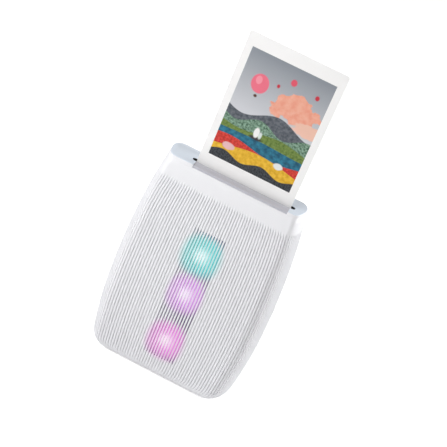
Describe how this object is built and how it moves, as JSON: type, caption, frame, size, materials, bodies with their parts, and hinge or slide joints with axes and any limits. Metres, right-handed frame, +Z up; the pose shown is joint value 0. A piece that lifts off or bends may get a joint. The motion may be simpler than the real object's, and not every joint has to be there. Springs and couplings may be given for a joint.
{
  "type": "photo printer",
  "caption": "Compact upright photo printer with a barrel-shaped ribbed housing, a lit window, a film slot in the top holding a print, and a hinged film door in the back",
  "frame": {"origin": "middle of the bounding box in plan, on the surface that the printer stands on", "axes": "+Z up along the print, -Y out of the ribbed front, +X to the right as seen from the front"},
  "size_m": [0.0904, 0.0346, 0.2004],
  "materials": {
    "cover_white": "fine satin moulded ABS",
    "rear_white": "fine satin moulded ABS",
    "cap_blue_grey": "satin moulded ABS",
    "lip_grey": "matt dark-grey ABS",
    "door_white": "fine satin moulded ABS",
    "button_white": "satin ABS",
    "lock_grey": "matt acetal",
    "film_frame": "glossy coated film base",
    "film_image": "glossy dye image under clear film",
    "pack_black": "matt black polystyrene",
    "stack_dark": "black film backs",
    "spring_steel": "bare spring steel",
    "steel": "ground steel",
    "roller_steel": "polished steel",
    "gear_acetal": "natural acetal",
    "pinion_brass": "cut brass",
    "motor_can": "nickel-plated can",
    "chassis_black": "matt black glass-filled ABS",
    "bracket_zinc": "zinc-plated sheet",
    "head_black": "matt black housing",
    "lens_glass": "clear lens strip",
    "felt_black": "black felt",
    "guide_black": "matt black ABS",
    "pcb_green": "solder-masked circuit board",
    "chip_black": "moulded epoxy",
    "socket_steel": "plated steel shell",
    "battery_grey": "shrink-wrapped foil pouch",
    "diffuser_milk": "milky polycarbonate",
    "lamp_teal": "lit lamp, teal",
    "lamp_violet": "lit lamp, violet",
    "lamp_pink": "lit lamp, pink"
  },
  "bodies": {
    "case": {"battery": "battery_grey", "board_chips": "chip_black", "charge_socket": "socket_steel", "chassis": "chassis_black", "chassis_screws": "steel", "claw_guides": "chassis_black", "drive_motor": "motor_can", "exposure_head": "head_black", "film_guide": "guide_black", "film_pack": "pack_black", "film_stack": "stack_dark", "front_cover": "cover_white", "head_lens": "lens_glass", "hinge_pin": "steel", "lamp_board": "pcb_green", "light_diffuser": "diffuser_milk", "light_seals": "felt_black", "lower_lamp": "lamp_pink", "main_board": "pcb_green", "middle_lamp": "lamp_violet", "pack_spring": "spring_steel", "power_switch": "chip_black", "rear_cover": "rear_white", "roller_bracket": "bracket_zinc", "slot_lip": "lip_grey", "switch_board": "pcb_green", "top_cap": "cap_blue_grey", "upper_lamp": "lamp_teal"},
    "door": {"film_door": "door_white"},
    "lock": {"door_lock": "lock_grey"},
    "button": {"power_button": "button_white"},
    "print": {"print_sheet": "film_frame", "print_picture": "film_image"},
    "front_roller": {"front_roller": "roller_steel", "front_roller_gear": "gear_acetal"},
    "rear_roller": {"rear_roller": "roller_steel", "rear_roller_gear": "gear_acetal"},
    "idler": {"idler_gear": "gear_acetal"},
    "reduction": {"reduction_gear": "gear_acetal"},
    "pinion": {"motor_pinion": "pinion_brass"},
    "claw": {"pick_claw": "spring_steel"}
  },
  "joints": [
    {"name": "door_hinge", "type": "hinge", "parent": "case", "child": "door", "pos_m": [0, 0.0148, 0.0085], "axis": [-1, 0, 0], "range_deg": [0, 90]},
    {"name": "lock_slide", "type": "slide", "parent": "door", "child": "lock", "axis": [0, 0, 1], "range_m": [0, 0.002]},
    {"name": "button_press", "type": "slide", "parent": "case", "child": "button", "axis": [-1, 0, 0], "range_m": [0, 0.0004], "stiffness_N_per_m": 800},
    {"name": "print_feed", "type": "slide", "parent": "case", "child": "print", "axis": [0, 0, 1], "range_m": [-0.1054, 0.0099]},
    {"name": "front_roller_spin", "type": "hinge", "parent": "case", "child": "front_roller", "pos_m": [0.0038, -0.0092, 0.106], "axis": [1, 0, 0], "continuous": true},
    {"name": "rear_roller_spin", "type": "hinge", "parent": "case", "child": "rear_roller", "pos_m": [0.0038, -0.0022, 0.106], "axis": [1, 0, 0], "continuous": true},
    {"name": "idler_spin", "type": "hinge", "parent": "case", "child": "idler", "pos_m": [-0.03005, 0.00337, 0.10098], "axis": [1, 0, 0], "continuous": true},
    {"name": "reduction_spin", "type": "hinge", "parent": "case", "child": "reduction", "pos_m": [-0.03005, 0.00459, 0.09409], "axis": [1, 0, 0], "continuous": true},
    {"name": "motor_spin", "type": "hinge", "parent": "case", "child": "pinion", "pos_m": [-0.0309, 0.00268, 0.08325], "axis": [1, 0, 0], "continuous": true},
    {"name": "claw_slide", "type": "slide", "parent": "case", "child": "claw", "axis": [0, 0, 1], "range_m": [0, 0.008]}
  ],
  "couplings": [
    {"joint": "rear_roller_spin", "follows": "front_roller_spin", "ratio": -1},
    {"joint": "idler_spin", "follows": "front_roller_spin", "ratio": 0.875},
    {"joint": "reduction_spin", "follows": "front_roller_spin", "ratio": -1.1667},
    {"joint": "motor_spin", "follows": "front_roller_spin", "ratio": 3.9667}
  ]
}
